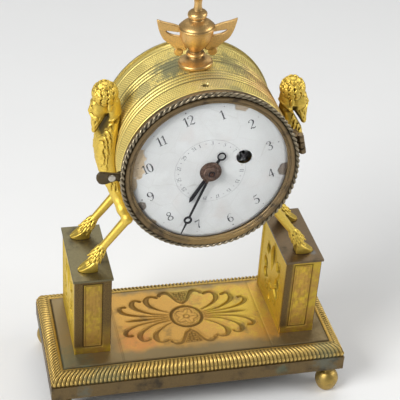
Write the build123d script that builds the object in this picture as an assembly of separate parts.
from build123d import *
import math
import os

# Base
base_width = 92.0
base_depth = 41.8
band_bottom = 10.1
band_height = 4.8
base_wall = 2.0
ledge_width = 7.0
ledge_thickness = 0.9
moulding_height = 3.97
plate_inset = 4.1
plate_thickness = 1.2
plate_ledge = 1.5
reed_pitch = 1.65
reed_fraction = 0.72
reed_relief = 0.45

# Ball feet
foot_radius = 3.7
foot_flat = 0.15
foot_inset = 3.5
foot_neck_radius = 1.7
foot_stud_radius = 1.2
nut_height = 1.6
nut_width = 4.4

# Plinths
plinth_from_end = 13.7
plinth_middle_y = 2.25
plinth_width = 11.1
plinth_depth = 26.9
plinth_height = 27.56
plinth_wall = 1.0
cap_thickness = 0.8
cap_overhang = 0.4
panel_recess = 0.3
panel_side_margin = 3.0
panel_top_margin = 1.9
panel_bottom_margin = 2.7
flank_margin = 2.0
tie_rod_radius = 1.2
tie_flange_radius = 2.6
tie_flange_thickness = 1.0

# Drum
drum_z = 83.2
drum_radius = 25.23
drum_wall = 0.9
drum_front = 11.2
drum_back = -18.2
drum_groove_depth = 0.25
drum_groove_width = 0.5
drum_ribs = 3
drum_rib_width = 1.0
drum_bands = 3
drum_front_lip = 1.0
drum_back_lip = 2.8
vent_from_front = 3.0
vent_radius = 0.55
case_turn = 4.5
cover_thickness = 0.9
cover_skirt = 4.0
cover_rim = 0.5

# Bezel, glass and hinge
bezel_seat_gap = 0.15
bezel_height = 3.1
bezel_radius = 25.2
bezel_inner = 22.2
rope_radius = 0.8
rope_height = 2.35
flange_outer = 24.3
flange_slope = 0.25
glass_thickness = 0.75
glass_rise = 4.6
glass_rebate = 0.7
hinge_angle = 13.5
hinge_offset = 1.75
hinge_pin_radius = 0.45
knuckle_radius = 0.95
knuckle_length = 1.7
knuckle_gap = 0.3
tab_angle = 180.0
tab_reach = 6.8
tab_width = 4.2
tab_thickness = 1.0

# Dial and hands
dial_front = 12.7
dial_thickness = 1.0
dial_radius = 22.5
dial_turn = 22.9
dial_hole = 1.75
dial_foot_circle = 17.0
winding_radius = 10.24
winding_hole = 2.25
minute_length = 21.3
minute_ring_at = 16.4
hour_length = 11.3
hour_ring_at = 5.6
minute_angle = 249.1
hour_angle = 239.8
hand_thickness = 0.35

# Movement plates, measured from the dial towards the back
under_dial_gap = 2.8
pillar_plate_thickness = 1.5
plate_gap = 9.0
back_plate_thickness = 1.4
plate_clearance = 2.73
back_plate_step = 2.1
pillar_edge = 1.5
seat_ring_width = 1.7
seat_ring_thickness = 1.3
seat_screw_edge = 0.8
seat_screw_angles = (20, 140, 260)
dial_foot_angles = (45, 165, 285)
pillar_angles = (60, 125, 235, 300)
post_radius = 0.6
pin_radius = 0.25
pin_length = 3.0
pivot_play = 0.04
fit_play = 0.02

# Wheel train
addendum = 0.8
dedendum = 1.15
upper_train_gap = 0.13
barrel_teeth = 48
centre_pinion_leaves = 8
centre_teeth = 48
third_leaves = 6
third_teeth = 45
fourth_leaves = 6
fourth_teeth = 48
escape_leaves = 6
escape_teeth = 15
centre_third_distance = 7.5
third_fourth_distance = 6.9
fourth_escape_distance = 5.6
escape_balance_distance = 4.4
escape_radius = 3.5
third_direction = 130.0
fourth_direction = 235.0
escape_direction = 290.0
balance_direction = 300.0
balance_radius = 6.2
motion_distance = 4.8
cannon_leaves = 10
minute_wheel_teeth = 30
minute_leaves = 8
hour_teeth = 32
motion_direction = 120.0
ratchet_teeth = 24
ratchet_radius = 3.3

# Urn
urn_y = 4.0
urn_height = 27.2
urn_units = 27.2
urn_stud_radius = 1.2
handle_thickness = 1.2
handle_yaw = 12.0

# Satyrs
satyr_top = 105.0
figure_units = 57.77
hoof_spread = 8.4
hoof_peg_radius = 0.8
satyr_screw_radius = 0.7
satyr_screw_angles = (-2.3, 11.5)
satyr_screw_head = 1.4

# Heights and radii that follow from the sizes above
band_top = band_bottom + band_height
plate_top = band_top + moulding_height
plate_under = plate_top - plate_thickness
cap_under = plate_top + plinth_height
cap_top = cap_under + cap_thickness
drum_bore = drum_radius - drum_wall
plinth_middle_x = base_width / 2 - plinth_from_end
pillar_plate_radius = drum_bore - plate_clearance
back_plate_radius = pillar_plate_radius - back_plate_step
pillar_circle = back_plate_radius - pillar_edge
seat_ring_inner = pillar_plate_radius - seat_ring_width
seat_screw_circle = pillar_plate_radius - seat_screw_edge
drum_top = drum_z + drum_radius
dial_back = dial_front - dial_thickness
pillar_front = dial_back - under_dial_gap
pillar_back = pillar_front - pillar_plate_thickness
rear_front = pillar_back - plate_gap
rear_back = rear_front - back_plate_thickness
glass_seat = drum_front + bezel_seat_gap + bezel_height - glass_rebate

# Frames: the drum's own frame looks along the dial's normal, with local Z towards the viewer
drum_place = Location(Plane(origin=(0, 0, drum_z), x_dir=(1, 0, 0), z_dir=(0, -1, 0)))
works_place = drum_place * Location((0, 0, 0), (0, 0, dial_turn))
top_place = drum_place * Location((0, 0, 0), (0, 0, case_turn))

upward = (Align.CENTER, Align.CENTER, Align.MIN)
pieces = {}
groups = {}


def keep(name, shape, place=None):
    """Store a finished piece under its node name."""
    pieces[name] = place * shape if place else shape


def add_to_group(name, shape, place=None):
    """Collect like solids that share one node."""
    groups.setdefault(name, []).append(place * shape if place else shape)


def disc(radius, low, high, x=0.0, y=0.0):
    """A round bar along local Z."""
    return Pos(x, y, low) * Cylinder(radius, high - low, align=upward)


def tube(outer, inner, low, high, x=0.0, y=0.0):
    """A round bar with a bore."""
    return disc(outer, low, high, x, y) - disc(inner, low - 1, high + 1, x, y)


def block(x0, x1, y0, y1, z0, z1):
    """A box between two corners."""
    size = (x1 - x0, y1 - y0, z1 - z0)
    return Pos((x0 + x1) / 2, (y0 + y1) / 2, (z0 + z1) / 2) * Box(*size)


def turned(profile):
    """A solid of revolution about local Z from (radius, height) points."""
    outline = Polyline(*[(r, 0, z) for r, z in profile], close=True)
    return revolve(make_face(outline), Axis.Z, 360)


def prism(points, low, high):
    """A flat outline in local XY, extruded along local Z."""
    face = make_face(Polyline(*points, close=True))
    return Pos(0, 0, low) * extrude(face, high - low)


def polar(radius, degrees, x=0.0, y=0.0):
    """A point at a radius and an angle from a centre."""
    angle = math.radians(degrees)
    return (x + radius * math.cos(angle), y + radius * math.sin(angle))


def joined(*shapes):
    """One solid from pieces that overlap."""
    first, *others = shapes
    return first.fuse(*others) if others else first


def hex_nut(x, y, low, bore):
    """A hexagon nut whose axis is vertical."""
    body = Pos(x, y, low) * extrude(RegularPolygon(nut_width / 2, 6), nut_height)
    return body - disc(bore, low - 1, low + nut_height + 1, x, y)


def gear(teeth, module, low, high, centre, phase, bore):
    """A spur wheel whose slim teeth leave play on both flanks."""
    pitch = 360.0 / teeth
    root = module * (teeth / 2 - dedendum)
    tip = module * (teeth / 2 + addendum)
    points = []
    for tooth in range(teeth):
        middle = phase + tooth * pitch
        for radius, share in ((root, -0.23), (tip, -0.1), (tip, 0.1), (root, 0.23)):
            points.append(polar(radius, middle + share * pitch, *centre))
    return prism(points, low, high) - disc(bore, low - 1, high + 1, *centre)


def meshed(driver_phase, driver_teeth, direction, follower_teeth):
    """The phase that puts a follower's gap where the driver has a tooth, seen along their line of centres."""
    offset = (direction - driver_phase) / (360.0 / driver_teeth) % 1.0
    return direction + 180.0 + (offset + 0.5) * 360.0 / follower_teeth


def spiral(inner, outer, turns, thickness, low, high, centre, steps=14):
    """A coiled strip."""
    count = int(turns * steps)
    inside = []
    outside = []
    for step in range(count + 1):
        radius = inner + (outer - thickness - inner) * step / count
        angle = 360.0 * turns * step / count
        inside.append(polar(radius, angle, *centre))
        outside.append(polar(radius + thickness, angle, *centre))
    return prism(inside + outside[::-1], low, high)


def make_base():
    """Band with a ledge, corner pads for the feet, reeded moulding and top plate."""
    half_w = base_width / 2
    half_d = base_depth / 2
    frame = block(-half_w, half_w, -half_d, half_d, band_bottom, band_top)
    inner_w = half_w - base_wall
    inner_d = half_d - base_wall
    frame -= block(-inner_w, inner_w, -inner_d, inner_d, band_bottom - 1, band_top - ledge_thickness)
    open_w = half_w - ledge_width
    open_d = half_d - ledge_width
    frame -= block(-open_w, open_w, -open_d, open_d, band_bottom, band_top + 1)
    foot_x = half_w - foot_inset
    foot_y = half_d - foot_inset
    pad = foot_inset + foot_neck_radius
    for sx in (-1, 1):
        for sy in (-1, 1):
            x_span = sorted((sx * (half_w - pad), sx * (half_w - base_wall / 2)))
            y_span = sorted((sy * (half_d - pad), sy * (half_d - base_wall / 2)))
            frame += block(*x_span, *y_span, band_bottom, band_top - ledge_thickness / 2)
            stud_top = band_top - ledge_thickness
            frame -= disc(foot_stud_radius + fit_play, 0, stud_top, sx * foot_x, sy * foot_y)
    keep("base_band", frame)

    plate_w = half_w - plate_inset
    plate_d = half_d - plate_inset
    plate = block(-plate_w, plate_w, -plate_d, plate_d, plate_under, plate_top)
    for sx in (-1, 1):
        plate -= disc(tie_rod_radius + fit_play, 0, plate_top + 1, sx * plinth_middle_x, plinth_middle_y)
    keep("base_plate", palmette_plate(plate))

    make_moulding("front", base_width, base_depth, 0)
    make_moulding("back", base_width, base_depth, 180)
    make_moulding("left", base_depth, base_width, 270)
    make_moulding("right", base_depth, base_width, 90)


def palmette_plate(plate):
    """Raise the medallion and its fronds, and cut the border lines into the top plate."""
    medallion_radius = 5.2
    relief = 0.3
    line_x = 23.0
    line_width = 0.5
    for sx in (-1, 1):
        x = sx * line_x
        plate -= block(x - line_width / 2, x + line_width / 2, -12.5, 12.5, plate_top - relief, plate_top + 1)
    raised = [disc(medallion_radius, plate_top - relief, plate_top + relief)]
    for side in (0, 180):
        for degrees, reach in ((-40, 11.5), (-20, 14.0), (0, 15.5), (20, 14.0), (40, 11.5)):
            frond = Rot(0, 0, side + degrees) * Pos(medallion_radius + reach / 2 - 0.5, 0, plate_top - relief)
            raised.append(frond * extrude(Ellipse(reach / 2, 1.35), 2 * relief))
    return joined(plate, *raised)


def make_moulding(side, length, other, turn):
    """One mitred side of the reeded moulding that carries the top plate."""
    depth = plate_inset + plate_ledge
    rise = moulding_height
    hollow = [
        (reed_relief, 0),
        (reed_relief + 0.2, rise * 0.45),
        (plate_inset * 0.5, rise * 0.82),
        (plate_inset - 0.3, rise - 0.15),
        (plate_inset - fit_play, rise - 0.15),
        (plate_inset - fit_play, rise - plate_thickness),
        (depth, rise - plate_thickness),
        (depth, 0),
    ]
    reed = [
        (0.05, 0),
        (0.1, rise * 0.5),
        (plate_inset * 0.42, rise * 0.93),
        (plate_inset - 0.4, rise + 0.05),
        (plate_inset - 0.4, 0),
    ]

    def along(points, start, width):
        outline = Polyline(*[(start, -other / 2 + s, band_top + z) for s, z in points], close=True)
        return extrude(make_face(outline), width, dir=(1, 0, 0))

    count = int(length / reed_pitch)
    pitch = length / count
    reeds = []
    for number in range(count):
        start = -length / 2 + (number + (1 - reed_fraction) / 2) * pitch
        reeds.append(along(reed, start, pitch * reed_fraction))
    strip = joined(along(hollow, -length / 2, length), *reeds)
    mitre = [
        (-length / 2, -other / 2),
        (length / 2, -other / 2),
        (length / 2 - depth, -other / 2 + depth),
        (-length / 2 + depth, -other / 2 + depth),
    ]
    strip &= prism(mitre, band_top - 1, plate_top + 1)
    keep("moulding_" + side, Rot(0, 0, turn) * strip)


def make_feet():
    """Turned ball feet whose studs screw into the band's corner pads."""
    x = base_width / 2 - foot_inset
    y = base_depth / 2 - foot_inset
    stud_top = band_top - ledge_thickness
    profile = [(0, 0)]
    start = math.acos(1 - foot_flat / foot_radius)
    end = math.pi - math.asin(foot_neck_radius / foot_radius)
    for step in range(9):
        angle = start + (end - start) * step / 8
        profile.append((foot_radius * math.sin(angle), foot_radius * (1 - math.cos(angle)) - foot_flat))
    collar = foot_neck_radius + 0.7
    profile += [(foot_neck_radius, band_bottom - 1.2), (collar, band_bottom - 0.8), (collar, band_bottom)]
    profile += [(foot_stud_radius, band_bottom), (foot_stud_radius, stud_top), (0, stud_top)]
    foot = turned(profile)
    for end_name, sy in (("front", -1), ("back", 1)):
        for side, sx in (("left", -1), ("right", 1)):
            keep("foot_" + end_name + "_" + side, Pos(sx * x, sy * y, 0) * foot)


def make_plinth(side, sx):
    """Hollow panelled plinth with its cap plate and tie rod."""
    low = plate_top
    half_w = plinth_width / 2
    half_d = plinth_depth / 2
    body = block(-half_w, half_w, -half_d, half_d, low, cap_under)
    wall = plinth_wall
    body -= block(-half_w + wall, half_w - wall, -half_d + wall, half_d - wall, low - 1, cap_under + 1)
    panel_x = half_w - panel_side_margin
    panel_low = low + panel_bottom_margin
    panel_high = cap_under - panel_top_margin
    for sy in (-1, 1):
        face = sorted((sy * half_d, sy * (half_d - panel_recess)))
        body -= block(-panel_x, panel_x, *face, panel_low, panel_high)
    flank_y = half_d - flank_margin
    for side_sign in (-1, 1):
        face = sorted((side_sign * half_w, side_sign * (half_w - panel_recess)))
        body -= block(*face, -flank_y, flank_y, low + flank_margin, cap_under - flank_margin)
        body = joined(body, *palmette(side_sign, half_w, low + flank_margin, cap_under - flank_margin))
    place = Pos(sx * plinth_middle_x, plinth_middle_y, 0)
    keep("plinth_" + side, place * body)

    cap_w = half_w + cap_overhang
    cap_d = half_d + cap_overhang
    cap = block(-cap_w, cap_w, -cap_d, cap_d, cap_under, cap_top)
    for sy in (-1, 1):
        cap -= disc(hoof_peg_radius + fit_play, 0, cap_top + 1, sx * hoof_x(), sy * hoof_spread)
    keep("plinth_cap_" + side, place * cap)

    rod_low = plate_under - nut_height - 0.8
    rod = joined(
        disc(tie_rod_radius, rod_low, cap_under),
        disc(tie_flange_radius, cap_under - tie_flange_thickness, cap_under),
    )
    add_to_group("tie_rods", place * rod)


def palmette(side_sign, face_x, low, high):
    """Leaves that fan out from the foot of a plinth's flank."""
    leaves = []
    root = low + (high - low) * 0.28
    thickness = 2 * panel_recess
    for degrees, reach in ((0, 15.0), (28, 12.5), (-28, 12.5), (58, 9.5), (-58, 9.5), (90, 7.5), (-90, 7.5)):
        leaf = extrude(Pos(0, reach / 2) * Ellipse(1.15, reach / 2), thickness)
        outward = (side_sign, 0, 0)
        on_face = Plane(origin=(side_sign * face_x, 0, root), x_dir=(0, side_sign, 0), z_dir=outward)
        leaves.append(Location(on_face) * Pos(0, 0, -thickness) * Rot(0, 0, degrees) * leaf)
    return leaves


def hoof_x():
    """Where a hoof stands, measured outwards from the plinth's middle."""
    return 0.7


def make_nuts():
    """Nuts that draw the tie rods down under the base plate."""
    bore = tie_rod_radius + fit_play
    for sx in (-1, 1):
        nut = hex_nut(sx * plinth_middle_x, plinth_middle_y, plate_under - nut_height, bore)
        add_to_group("tie_rod_nuts", nut)


def limb(sections):
    """A tapering limb through (x, y, z, radius) stations."""
    faces = []
    for index, (x, y, z, radius) in enumerate(sections):
        before = Vector(*sections[max(index - 1, 0)][:3])
        after = Vector(*sections[min(index + 1, len(sections) - 1)][:3])
        faces.append(Plane(origin=(x, y, z), z_dir=(after - before)) * Circle(radius))
    return loft(faces)


def make_satyr():
    """The left-hand satyr, standing on two hooves with its back against the drum."""
    mid = plinth_middle_y
    stand = cap_top
    unit = (satyr_top - cap_top) / figure_units
    hoof = -(plinth_middle_x + hoof_x())

    def beside_drum(out, up):
        """A spot measured outwards and upwards from the drum's left edge at its axis."""
        return -drum_radius - out * unit, drum_z + up * unit

    def station(out, up, along, radius):
        """A limb station beside the drum, so far along the plinth's depth."""
        x, z = beside_drum(out, up)
        return x, mid + along, z, radius * unit

    def ball(out, up, along, radii):
        """An ellipsoid beside the drum."""
        x, z = beside_drum(out, up)
        return Pos(x, mid + along, z) * scale(Sphere(unit), by=radii)

    trunk = []
    for out, up, half_x, half_y in (
        (-2.63, -18.4, 1.9, 6.2),
        (-1.03, -14.7, 2.9, 6.4),
        (1.07, -9.2, 3.0, 4.7),
        (2.17, -3.2, 3.2, 4.9),
        (2.37, 2.8, 3.6, 5.3),
        (1.57, 7.3, 2.9, 4.2),
        (1.97, 10.8, 2.6, 3.3),
    ):
        x, z = beside_drum(out, up)
        trunk.append(Plane(origin=(x, mid, z)) * Ellipse(half_x * unit, half_y * unit))
    parts = [loft(trunk)]
    x, z = beside_drum(2.17, 6.4)
    collar = Plane(origin=(x, mid, z), z_dir=(-0.45, 0, 1))
    parts.append(Location(collar) * extrude(Ellipse(3.7 * unit, 5.0 * unit), 1.2 * unit, both=True))
    parts.append(ball(2.27, 16.8, 0, (3.9, 4.3, 5.0)))
    parts.append(ball(3.37, 12.8, 0, (3.0, 3.1, 4.2)))
    nose = [station(4.97, 15.4, 0, 0.5), station(6.47, 13.4, 0, 0.75), station(5.97, 12.0, 0, 0.5)]
    parts.append(limb(nose))
    beard = [station(4.37, 11.2, 0, 2.2), station(5.17, 8.3, 0, 1.5), station(5.87, 5.4, 0, 0.35)]
    parts.append(limb(beard))
    for sy in (-1, 1):
        x, z = beside_drum(1.37, 16.0)
        curl = Plane(origin=(x, mid + sy * 3.6 * unit, z), z_dir=(0, sy, 0))
        parts.append(Location(curl) * Torus(1.7 * unit, 0.8 * unit))
        parts.append(ball(1.07, 12.2, sy * 3.2 * unit, (1.3, 1.0, 2.0)))
        spread = sy * hoof_spread
        hock = station(-3.33, -19.0, spread, 1.65)
        parts.append(limb([
            station(-0.63, -13.4, sy * 4.2 * unit, 2.6),
            station(-2.23, -16.6, sy * 6.6 * unit, 2.3),
            station(-3.33, -19.0, spread, 1.7),
        ]))
        parts.append(ball(-3.33, -19.0, spread, (1.75, 1.75, 1.75)))
        ankle = (hoof + 3.7 * unit, mid + spread, stand + 7.67 * unit, 1.1 * unit)
        shin = station(0.17, -23.6, spread, 1.35)
        cuff = (hoof + 2.1 * unit, mid + spread, stand + 5.67 * unit, 1.75 * unit)
        parts.append(limb([hock, shin, ankle, cuff]))
        foot = []
        for inward, up, half_x, half_y in ((2.4, 6.17, 1.7, 1.5), (1.4, 3.37, 1.9, 1.6), (0, 0, 2.6, 2.1)):
            level = Plane(origin=(hoof + inward * unit, mid + spread, stand + up * unit))
            foot.append(level * Ellipse(half_x * unit, half_y * unit))
        parts.append(loft(foot))
        parts.append(disc(hoof_peg_radius, cap_under, stand + 0.5, hoof, mid + spread))
    figure = parts[0]
    for part in parts[1:]:
        figure = figure.fuse(part)
    figure -= drum_place * disc(drum_radius, drum_back - 1, drum_front + 1)
    for degrees in satyr_screw_angles:
        figure -= spoke(degrees) * disc(satyr_screw_radius + fit_play, drum_bore, drum_radius + 2.6)
    return figure


def spoke(degrees):
    """A frame whose Z runs outwards through the drum's left wall, turned down from level."""
    level = Pos(0, 0, -plinth_middle_y) * Rot(0, 0, 180 + degrees) * Rot(0, 90, 0)
    return drum_place * level


def satyr_screw(degrees):
    """A flat-headed screw from inside the drum into the left satyr's back."""
    seat = drum_bore - 0.05
    head = disc(satyr_screw_head, seat - 0.9, seat)
    return spoke(degrees) * joined(head, disc(satyr_screw_radius, seat - 0.1, drum_radius + 2.4))


def make_satyrs():
    """Both figures and the screws that hold them to the drum."""
    left = make_satyr()
    keep("satyr_left", left)
    keep("satyr_right", mirror(left, about=Plane.YZ))
    for degrees in satyr_screw_angles:
        screw = satyr_screw(degrees)
        add_to_group("satyr_screws", screw)
        add_to_group("satyr_screws", mirror(screw, about=Plane.YZ))


def make_drum():
    """Drum shell with broad bands between ribs, its rear cover and the ring that seats the movement."""
    outer = drum_radius
    low = outer - drum_groove_depth
    zone = drum_ribs * drum_rib_width + (drum_ribs + 1) * drum_groove_width
    lips = drum_front_lip + drum_back_lip
    band_width = (drum_front - drum_back - lips - (drum_bands - 1) * zone) / drum_bands
    profile = [(drum_bore, drum_back), (outer, drum_back)]
    for number in range(1, drum_bands):
        start = drum_back + drum_back_lip + number * band_width + (number - 1) * zone
        for groove in range(drum_ribs + 1):
            near = start + groove * (drum_rib_width + drum_groove_width)
            far = near + drum_groove_width
            profile += [(outer, near), (low, near), (low, far), (outer, far)]
    profile += [(outer, drum_front), (drum_bore, drum_front)]
    shell = drum_place * turned(profile)
    for degrees in satyr_screw_angles:
        hole = spoke(degrees) * disc(satyr_screw_radius + fit_play, drum_bore - 1, drum_radius + 1)
        shell -= hole
        shell -= mirror(hole, about=Plane.YZ)
    stud_hole = disc(urn_stud_radius + fit_play, drum_bore - 1, drum_radius + 1)
    shell -= top_place * (Pos(0, 0, -urn_y) * Rot(-90, 0, 0) * stud_hole)
    vent = disc(vent_radius, drum_bore - 1, drum_radius + 1)
    shell -= top_place * (Pos(0, 0, drum_front - vent_from_front) * Rot(-90, 0, 0) * vent)
    keep("drum_shell", shell)

    skirt_outer = drum_bore - fit_play
    cover_low = drum_back - cover_thickness
    cover = turned([
        (0, cover_low),
        (drum_radius + cover_rim - 0.4, cover_low),
        (drum_radius + cover_rim, cover_low + 0.4),
        (drum_radius + cover_rim, drum_back),
        (skirt_outer, drum_back),
        (skirt_outer, drum_back + cover_skirt),
        (skirt_outer - 0.7, drum_back + cover_skirt),
        (skirt_outer - 0.7, drum_back),
        (0, drum_back),
    ])
    keep("rear_cover", cover, drum_place)

    seat = tube(skirt_outer, seat_ring_inner, pillar_back - seat_ring_thickness, pillar_back)
    for degrees in seat_screw_angles:
        spot = polar(seat_screw_circle, degrees)
        seat -= disc(post_radius + fit_play, pillar_back - 3, pillar_back + 1, *spot)
    keep("movement_seat", seat, works_place)


def make_urn():
    """Turned urn on a saddle foot, its two flat handles and its finial."""
    unit = urn_height / urn_units

    def above(points):
        """Points given as (radius, height over the drum) in units of the urn."""
        return [(radius * unit, drum_radius + height * unit) for radius, height in points]

    profile = above([
        (0, -0.9),
        (5.0, -0.9),
        (5.0, 0.7),
        (4.4, 1.2),
        (2.3, 1.9),
        (1.7, 2.5),
        (2.65, 3.1),
        (1.7, 3.7),
        (1.9, 4.3),
        (3.9, 6.3),
        (4.8, 8.3),
        (5.1, 10.2),
        (4.9, 10.9),
        (4.0, 11.7),
        (2.6, 12.3),
        (1.9, 12.9),
        (0, 12.9),
    ])
    spigot = 0.75 * unit
    body = turned(profile)
    body -= disc(spigot + fit_play, drum_radius + 10.5 * unit, drum_radius + 14 * unit)
    saddle = Rot(90, 0, 0) * disc(drum_radius, -20, 20)
    stud = disc(urn_stud_radius, drum_bore - nut_height - 1, drum_radius + unit)
    body = joined(body - saddle, stud)
    stand = top_place * Pos(0, 0, -urn_y) * Rot(-90, 0, 0)

    finial = turned(above([
        (0, 11.2),
        (0.75, 11.2),
        (0.75, 12.9),
        (2.2, 12.9),
        (2.7, 13.6),
        (2.6, 14.5),
        (1.5, 15.5),
        (1.2, 17.5),
        (1.5, 19.2),
        (2.2, 20.8),
        (1.9, 22.8),
        (0.9, 25.6),
        (0, urn_units),
    ]))
    keep("urn_body", body, stand)
    keep("urn_finial", finial, stand)
    nut = Pos(0, 0, drum_bore - nut_height - 0.4) * extrude(RegularPolygon(nut_width / 2, 6), nut_height)
    nut -= disc(urn_stud_radius + fit_play, 0, drum_radius)
    keep("urn_nut", nut, stand)
    outline = above([
        (4.3, 10.4),
        (11.3, 12.9),
        (10.5, 10.2),
        (9.1, 6.8),
        (7.0, 5.4),
        (5.6, 4.9),
        (6.2, 4.0),
        (6.0, 2.9),
        (5.0, 2.4),
        (4.0, 2.9),
        (4.1, 3.8),
        (2.6, 5.3),
    ])
    window = above([(4.9, 7.4), (7.3, 7.5), (8.3, 9.6), (4.9, 9.0)])
    half = handle_thickness / 2
    for sx in (-1, 1):
        flat = prism([(sx * radius, height) for radius, height in outline], -half, half)
        flat -= prism([(sx * radius, height) for radius, height in window], -half - 1, half + 1)
        upright = Rot(0, 0, -handle_yaw) * Rot(90, 0, 0) * flat
        add_to_group("urn_handles", upright - turned(profile), stand)


def domed(edge, seat, rise, thickness):
    """A glass of even thickness whose faces are arcs turned about local Z."""
    sphere = (edge ** 2 + rise ** 2) / (2 * rise)
    half_height = math.sqrt(sphere ** 2 - (edge / 2) ** 2) - sphere + rise
    inner = ThreePointArc((0, 0, seat + rise), (edge / 2, 0, seat + half_height), (edge, 0, seat))
    outer = Pos(0, 0, thickness) * inner
    rim = Line((edge, 0, seat), (edge, 0, seat + thickness))
    axis = Line((0, 0, seat + rise), (0, 0, seat + rise + thickness))
    return revolve(make_face([inner, rim, outer, axis]), Axis.Z, 360)


def make_bezel():
    """Glazed bezel with its corded rim, thumb tab and hinge."""
    back = drum_front + bezel_seat_gap
    front = back + bezel_height
    dial_room = dial_radius + 0.4
    rope_middle = (bezel_radius - 0.15, back + rope_height)
    ring = turned([
        (dial_room, back),
        (bezel_radius, back),
        (bezel_radius, back + rope_height),
        (flange_outer, front),
        (dial_room, front - flange_slope),
        (dial_room, glass_seat),
        (bezel_inner, glass_seat),
        (bezel_inner, dial_front + 0.4),
        (dial_room, dial_front + 0.4),
    ])
    rope = turned([
        polar(rope_radius, 22.5 + 45 * corner, *rope_middle) for corner in range(8)
    ])
    ring -= rope
    edge = dial_room - fit_play
    glass = domed(edge, glass_seat, glass_rise, glass_thickness)
    keep("bezel_glass", glass, drum_place)

    tab_base = back + 0.2
    tab_turn = Rot(0, 0, tab_angle)
    reach = bezel_radius + tab_reach
    tab_half = tab_width / 2
    tab_top = tab_base + tab_thickness
    slab = block(dial_room + 0.6, reach - tab_half, -tab_half, tab_half, tab_base, tab_top)
    tab = slab + disc(tab_width / 2, tab_base, tab_base + tab_thickness, reach - tab_width / 2)
    rivet_x = bezel_radius + 2.6
    tab -= disc(post_radius + fit_play, tab_base - 1, tab_base + 3, rivet_x)
    slot = block(dial_room + 0.6, bezel_radius + 1, -tab_half, tab_half, tab_base, tab_top)
    keep("bezel_tab", tab_turn * tab, drum_place)
    rivet = joined(
        disc(1.0, tab_base + tab_thickness, tab_base + tab_thickness + 0.4, rivet_x),
        disc(0.6, tab_base - 0.3, tab_base + tab_thickness + 0.1, rivet_x),
    )
    keep("tab_rivet", tab_turn * rivet, drum_place)

    hinge_radius = drum_radius + hinge_offset
    axis_height = back + 0.6
    turn = Rot(0, 0, hinge_angle)
    along = Pos(hinge_radius, 0, axis_height) * Rot(-90, 0, 0)
    half = knuckle_length / 2
    bore = hinge_pin_radius + pivot_play
    middle = along * tube(knuckle_radius, bore, -half, half)
    strap = block(bezel_radius - 1.0, hinge_radius - 0.2, -half, half, axis_height - 0.35, axis_height + 0.35)
    strap -= along * disc(bore, -half - 1, half + 1)
    bezel_leaf = joined(middle, strap)
    strap_room = block(bezel_radius - 1.0, hinge_radius, -half, half, axis_height - 0.35, axis_height + 0.35)
    knuckle_room = along * disc(knuckle_radius + 0.3, -3 * half - 1, 3 * half + 1)
    rope_cut = turn * joined(strap_room, knuckle_room)
    ring -= tab_turn * slot
    ring -= rope_cut
    rope -= rope_cut
    rope -= tab_turn * slot
    keep("bezel_ring", ring, drum_place)
    keep("bezel_rope", rope, drum_place)
    keep("bezel_leaf", turn * bezel_leaf, drum_place)

    leaf_pieces = []
    for low in (half + knuckle_gap, -half - knuckle_gap - knuckle_length):
        high = low + knuckle_length
        arm = block(bezel_radius + 0.4, hinge_radius, -high, -low, drum_front - 3.4, axis_height)
        arm -= along * disc(hinge_pin_radius + fit_play, -9, 9)
        leaf_pieces += [along * tube(knuckle_radius, hinge_pin_radius + fit_play, low, high), arm]
    reach = 3 * half + knuckle_gap
    plate_low = drum_front - 4.6
    plate_high = drum_front - 1.6
    case_plate = block(drum_radius - 0.6, drum_radius + 0.9, -reach, reach, plate_low, plate_high)
    case_leaf = joined(case_plate, *leaf_pieces)
    case_leaf -= disc(drum_radius, drum_back, drum_front)
    keep("case_leaf", turn * case_leaf, drum_place)
    span = 3 * half + knuckle_gap
    pin = joined(disc(hinge_pin_radius, -span - 0.2, span), disc(0.85, span, span + 0.6))
    keep("hinge_pin", turn * along * pin, drum_place)


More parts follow.
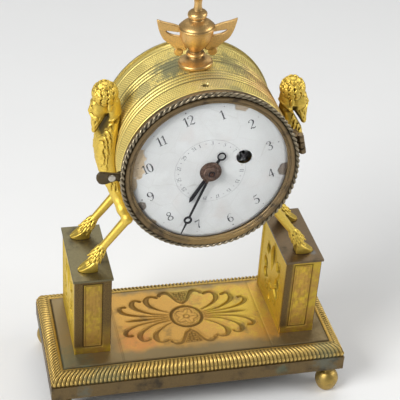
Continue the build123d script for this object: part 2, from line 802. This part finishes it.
def make_dial_and_hands():
    """Enamel dial with its feet, and the two open-ring hands."""
    dial = turned([
        (dial_hole, dial_back),
        (dial_radius, dial_back),
        (dial_radius, dial_front - 0.35),
        (dial_radius - 0.5, dial_front - 0.1),
        (dial_hole, dial_front),
    ])
    dial -= disc(winding_hole, dial_back - 1, dial_front + 1, winding_radius)
    for degrees in dial_foot_angles:
        spot = polar(dial_foot_circle, degrees)
        dial = joined(dial, disc(post_radius, pillar_back - 1.1, dial_back + 0.2, *spot))
    for degrees in dial_foot_angles:
        cross = Pos(*spot, pillar_back - 0.45) * Rot(0, 0, degrees) * Rot(0, 90, 0)
        dial -= cross * Cylinder(pin_radius + fit_play, 4)
        add_to_group("taper_pins", cross * Cylinder(pin_radius, pin_length), works_place)
    keep("dial", dial, works_place)

    hour_low = dial_front + 0.35
    hour_turn = Rot(0, 0, hour_angle - dial_turn)
    shank = prism([(-hour_ring_at + 1, -0.35), (hour_length - 1.2, -0.55), (hour_length, 0),
                   (hour_length - 1.2, 0.55), (-hour_ring_at + 1, 0.35)], hour_low, hour_low + hand_thickness)
    loop = tube(1.3, 0.9, hour_low, hour_low + hand_thickness, -hour_ring_at)
    collet = disc(3.1, hour_low, hour_low + hand_thickness)
    hour_hand = joined(shank, loop, collet) - disc(hour_pipe_outer() + fit_play, hour_low - 1, hour_low + 2)
    keep("hour_hand", hour_turn * hour_hand, works_place)

    minute_low = hour_low + hand_thickness + 0.35
    minute_turn = Rot(0, 0, minute_angle - dial_turn)
    near = prism([(0, -0.4), (minute_ring_at - 1.0, -0.3), (minute_ring_at - 1.0, 0.3), (0, 0.4)],
                 minute_low, minute_low + hand_thickness)
    tip = prism([(minute_ring_at + 1.0, -0.28), (minute_length, -0.08), (minute_length, 0.08),
                 (minute_ring_at + 1.0, 0.28)], minute_low, minute_low + hand_thickness)
    loop = tube(1.25, 0.65, minute_low, minute_low + hand_thickness, minute_ring_at)
    boss = disc(2.15, minute_low, minute_low + hand_thickness + 0.4)
    minute_bore = disc(cannon_pipe_outer() + fit_play, minute_low - 1, minute_low + 3)
    minute_hand = joined(boss, near, tip, loop) - minute_bore
    keep("minute_hand", minute_turn * minute_hand, works_place)


def cannon_pipe_outer():
    """Outer radius of the pipe that carries the minute hand."""
    return 0.95


def hour_pipe_outer():
    """Outer radius of the pipe that carries the hour hand."""
    return 1.4


def arbor(centre, low, high, radius=0.55, pivot=0.35):
    """A wheel's arbor with a slimmer pivot in each plate."""
    return joined(
        disc(radius, low, high, *centre),
        disc(pivot, low - back_plate_thickness + 0.1, high + pillar_plate_thickness - 0.1, *centre),
    )


def make_movement():
    """Plates, pillars, going barrel, wheel train, escape wheel, balance and motion work."""
    centre = (0.0, 0.0)
    barrel = (winding_radius, 0.0)
    third = polar(centre_third_distance, third_direction)
    fourth = polar(third_fourth_distance, fourth_direction, *third)
    escape = polar(fourth_escape_distance, escape_direction, *fourth)
    balance = polar(escape_balance_distance, balance_direction, *escape)
    motion = polar(motion_distance, motion_direction)
    between_low = rear_front + 0.3
    between_high = pillar_back - 0.3
    pivot = 0.35

    front_plate = disc(pillar_plate_radius, pillar_back, pillar_front)
    rear_plate = disc(back_plate_radius, rear_back, rear_front)
    for point in (third, fourth, escape):
        front_plate -= disc(pivot + pivot_play, pillar_back - 1, pillar_front + 1, *point)
        rear_plate -= disc(pivot + pivot_play, rear_back - 1, rear_front + 1, *point)
    front_plate -= disc(0.55 + pivot_play, pillar_back - 1, pillar_front + 1)
    rear_plate -= disc(0.55 + pivot_play, rear_back - 1, rear_front + 1)
    front_plate -= disc(1.1 + pivot_play, pillar_back - 1, pillar_front + 1, *barrel)
    rear_plate -= disc(0.8 + pivot_play, rear_back - 1, rear_front + 1, *barrel)
    front_plate -= disc(0.3 + pivot_play, pillar_back - 1, pillar_front + 1, *balance)
    rear_plate -= disc(0.9, rear_back - 1, rear_front + 1, *balance)
    for degrees in dial_foot_angles:
        spot = polar(dial_foot_circle, degrees)
        front_plate -= disc(post_radius + fit_play, pillar_back - 1, pillar_front + 1, *spot)
    for degrees in seat_screw_angles:
        spot = polar(seat_screw_circle, degrees)
        front_plate -= disc(post_radius + fit_play, pillar_back - 1, pillar_front + 1, *spot)
    for degrees in pillar_angles:
        spot = polar(pillar_circle, degrees)
        front_plate -= disc(post_radius + fit_play, pillar_back - 1, pillar_front + 1, *spot)
        rear_plate -= disc(post_radius + fit_play, rear_back - 1, rear_front + 1, *spot)
        post = joined(
            disc(1.2, rear_front, pillar_back, *spot),
            disc(post_radius, rear_back - 1.1, pillar_front, *spot),
        )
        cross = Pos(*spot, rear_back - 0.45) * Rot(0, 0, degrees + 90) * Rot(0, 90, 0)
        add_to_group("plate_pillars", post - cross * Cylinder(pin_radius + fit_play, 4), works_place)
        add_to_group("taper_pins", cross * Cylinder(pin_radius, pin_length), works_place)
    click_pivot = polar(5.9, 62, *barrel)
    front_plate -= disc(0.5 + fit_play, pillar_back - 1, pillar_front + 1, *click_pivot)
    front_plate -= disc(0.5 + fit_play, pillar_back - 1, pillar_front + 1, *motion)
    cock_foot = polar(9.4, 330, *balance)
    rear_plate -= disc(post_radius + fit_play, rear_back - 1, rear_front + 1, *cock_foot)
    keep("pillar_plate", front_plate, works_place)
    keep("back_plate", rear_plate, works_place)
    for degrees in seat_screw_angles:
        spot = polar(seat_screw_circle, degrees)
        screw = joined(
            disc(post_radius, pillar_back - 1.2, pillar_front + 0.1, *spot),
            disc(0.75, pillar_front, pillar_front + 0.5, *spot),
        )
        add_to_group("movement_screws", screw, works_place)

    barrel_module = 2 * winding_radius / (barrel_teeth + centre_pinion_leaves)
    rim_low = rear_front + 2.9
    rim_high = rim_low + 1.0
    barrel_high = between_high - 0.4
    barrel_wall = barrel_module * (barrel_teeth / 2 - dedendum)
    rim = gear(barrel_teeth, barrel_module, rim_low, rim_high, barrel, 0, 1.1 + pivot_play)
    wall = tube(barrel_wall - 0.3, barrel_wall - 1.1, rim_high - 0.2, barrel_high, *barrel)
    keep("barrel", joined(rim, wall), works_place)
    lid = tube(barrel_wall - 1.1 - fit_play, 1.1 + pivot_play, barrel_high - 0.8, barrel_high, *barrel)
    keep("barrel_cover", lid, works_place)
    coil = spiral(2.2, barrel_wall - 1.15, 5.5, 0.3, rim_high + 0.3, barrel_high - 1.1, barrel)
    keep("mainspring", coil, works_place)
    square = 1.5
    key_top = dial_front - 0.3
    winder = joined(
        disc(1.6, rim_high + 0.3, barrel_high - 1.1, *barrel),
        disc(1.1, rim_low - 0.2, pillar_front + 0.3, *barrel),
        disc(0.8, rear_back + 0.1, rim_low, *barrel),
        Pos(barrel[0], 0, 0) * block(-square / 2, square / 2, -square / 2, square / 2, pillar_front, key_top),
    )
    keep("winding_arbor", winder, works_place)
    ratchet_low = pillar_front + 0.35
    ratchet_high = ratchet_low + 0.9
    points = []
    for tooth in range(ratchet_teeth):
        start = tooth * 360.0 / ratchet_teeth
        points.append(polar(ratchet_radius, start, *barrel))
        points.append(polar(ratchet_radius - 0.55, start + 0.5, *barrel))
    hole = block(barrel[0] - square / 2 - fit_play, barrel[0] + square / 2 + fit_play,
                 -square / 2 - fit_play, square / 2 + fit_play, ratchet_low - 1, ratchet_high + 1)
    keep("ratchet_wheel", prism(points, ratchet_low, ratchet_high) - hole, works_place)
    nose = polar(ratchet_radius + 0.12, 10, *barrel)
    click = joined(
        tube(0.95, 0.5 + pivot_play, ratchet_low, ratchet_high, *click_pivot),
        prism([
            nose,
            polar(ratchet_radius + 0.75, 14, *barrel),
            (click_pivot[0] + 0.8, click_pivot[1] - 0.25),
            (click_pivot[0] + 0.25, click_pivot[1] + 0.8),
            (click_pivot[0] - 0.45, click_pivot[1] - 0.7),
            polar(ratchet_radius + 0.12, 18, *barrel),
        ], ratchet_low, ratchet_high) - disc(0.8, ratchet_low - 1, ratchet_high + 1, *click_pivot),
    )
    keep("click", click, works_place)
    stud = joined(
        disc(0.5, pillar_back + 0.1, ratchet_high + 0.35, *click_pivot),
        disc(0.85, ratchet_high + 0.3, ratchet_high + 0.7, *click_pivot),
    )
    add_to_group("under_dial_posts", stud, works_place)

    centre_module = 2 * centre_third_distance / (centre_teeth + third_leaves)
    third_module = 2 * third_fourth_distance / (third_teeth + fourth_leaves)
    fourth_module = 2 * fourth_escape_distance / (fourth_teeth + escape_leaves)
    motion_module = 2 * motion_distance / (cannon_leaves + minute_wheel_teeth)
    pinion_phase = meshed(0, barrel_teeth, 180.0, centre_pinion_leaves)
    wheel_low = rear_front + 0.8
    centre_arbor = joined(
        disc(0.8, between_low, between_high),
        disc(0.55, rear_back + 0.1, dial_front + 2.1),
        gear(centre_pinion_leaves, barrel_module, rim_low - 0.4, rim_high + 0.4, centre, pinion_phase, 0.3),
        gear(centre_teeth, centre_module, wheel_low, wheel_low + 0.7, centre, 0, 0.3),
    )
    keep("centre_wheel", centre_arbor, works_place)
    third_phase = meshed(0, centre_teeth, third_direction, third_leaves)
    third_low = rim_high + 0.9
    keep("third_wheel", joined(
        arbor(third, between_low, between_high),
        gear(third_leaves, centre_module, wheel_low - 0.3, wheel_low + 1.0, third, third_phase, 0.3),
        gear(third_teeth, third_module, third_low, third_low + 0.6, third, 0, 0.3),
    ), works_place)
    fourth_low = third_low + 1.6
    third_tip = third_module * (third_teeth / 2 + addendum)
    fourth_tip = third_fourth_distance - third_tip - upper_train_gap
    pinion_module = fourth_tip / (fourth_leaves / 2 + addendum)
    keep("fourth_wheel", joined(
        arbor(fourth, between_low, between_high, 0.4, 0.35),
        gear(fourth_leaves, pinion_module, third_low - 0.3, third_low + 0.9, fourth, 0, 0.2),
        gear(fourth_teeth, fourth_module, fourth_low, fourth_low + 0.5, fourth, 0, 0.2),
    ), works_place)
    escape_phase = meshed(0, fourth_teeth, escape_direction, escape_leaves)
    escape_low = wheel_low + 1.9
    stars = []
    for tooth in range(escape_teeth):
        start = tooth * 360.0 / escape_teeth
        stars.append(polar(escape_radius, start, *escape))
        stars.append(polar(escape_radius - 0.9, start + 5, *escape))
        stars.append(polar(escape_radius - 0.9, start + 14, *escape))
    keep("escape_wheel", joined(
        arbor(escape, between_low, between_high, 0.4, 0.35),
        gear(escape_leaves, fourth_module, fourth_low - 0.3, fourth_low + 0.8, escape, escape_phase, 0.2),
        prism(stars, escape_low, escape_low + 0.5),
    ), works_place)

    balance_low = rear_back - 1.7
    rim = tube(balance_radius, balance_radius - 0.8, balance_low, balance_low + 0.7, *balance)
    arms = [
        Pos(*balance, balance_low + 0.35) * Rot(0, 0, degrees) * Box(2 * balance_radius - 0.6, 0.7, 0.5)
        for degrees in (0, 60, 120)
    ]
    staff = joined(
        disc(0.5, balance_low - 0.7, pillar_back - 0.3, *balance),
        disc(0.3, balance_low - 1.5, pillar_back + 1.0, *balance),
        disc(1.1, balance_low - 0.3, balance_low + 0.9, *balance),
    )
    keep("balance", joined(rim, staff, *arms), works_place)
    hair = spiral(1.3, 3.6, 3.5, 0.12, balance_low - 0.75, balance_low - 0.4, balance, 16)
    keep("hairspring", hair, works_place)
    cock_high = balance_low - 1.0
    arm = joined(
        disc(1.5, cock_high - 0.9, cock_high, *balance),
        disc(1.7, cock_high - 0.9, rear_back, *cock_foot),
        Pos((balance[0] + cock_foot[0]) / 2, (balance[1] + cock_foot[1]) / 2, cock_high - 0.45)
        * Rot(0, 0, 330) * Box(9.4, 2.2, 0.9),
    )
    arm -= disc(0.3 + pivot_play, cock_high - 2, cock_high + 1, *balance)
    arm -= disc(post_radius + fit_play, cock_high - 2, rear_front, *cock_foot)
    keep("balance_cock", arm, works_place)
    cock_screw = joined(
        disc(post_radius, cock_high - 1.0, rear_front - 0.2, *cock_foot),
        disc(1.1, cock_high - 1.5, cock_high - 0.9, *cock_foot),
    )
    add_to_group("movement_screws", cock_screw, works_place)

    motion_low = pillar_front + 0.35
    motion_high = motion_low + 0.7
    hour_low = motion_high + 0.35
    hour_high = hour_low + 0.7
    cannon_phase = 0
    pipe_top = dial_front + 1.9
    keep("cannon_pinion", joined(
        gear(cannon_leaves, motion_module, motion_low, motion_high, centre, cannon_phase, 0.55 + fit_play),
        tube(cannon_pipe_outer(), 0.55 + fit_play, motion_low, pipe_top),
    ), works_place)
    minute_phase = meshed(cannon_phase, cannon_leaves, motion_direction, minute_wheel_teeth)
    post_bore = 0.5 + pivot_play
    pinion = gear(minute_leaves, motion_module, motion_high - 0.1, hour_high, motion, 0, post_bore)
    wheel = gear(minute_wheel_teeth, motion_module, motion_low, motion_high, motion, minute_phase, post_bore)
    keep("minute_wheel", joined(wheel, pinion), works_place)
    post = joined(
        disc(0.5, pillar_back + 0.1, hour_high + 0.3, *motion),
        disc(0.8, hour_high + 0.25, hour_high + 0.5, *motion),
    )
    add_to_group("under_dial_posts", post, works_place)
    hour_phase = meshed(0, minute_leaves, motion_direction + 180.0, hour_teeth)
    cannon_bore = cannon_pipe_outer() + pivot_play
    hour_wheel = joined(
        gear(hour_teeth, motion_module, hour_low, hour_high, centre, hour_phase, cannon_bore),
        tube(hour_pipe_outer(), cannon_bore, hour_low, dial_front + 0.7),
    )
    keep("hour_wheel", hour_wheel, works_place)


make_base()
make_feet()
make_plinth("left", -1)
make_plinth("right", 1)
make_nuts()
make_satyrs()
make_drum()
make_urn()
make_bezel()
make_dial_and_hands()
make_movement()

for name, solids in groups.items():
    keep(name, Compound(children=solids))

os.makedirs("parts", exist_ok=True)
for name, shape in pieces.items():
    export_step(shape, "parts/" + name + ".step")
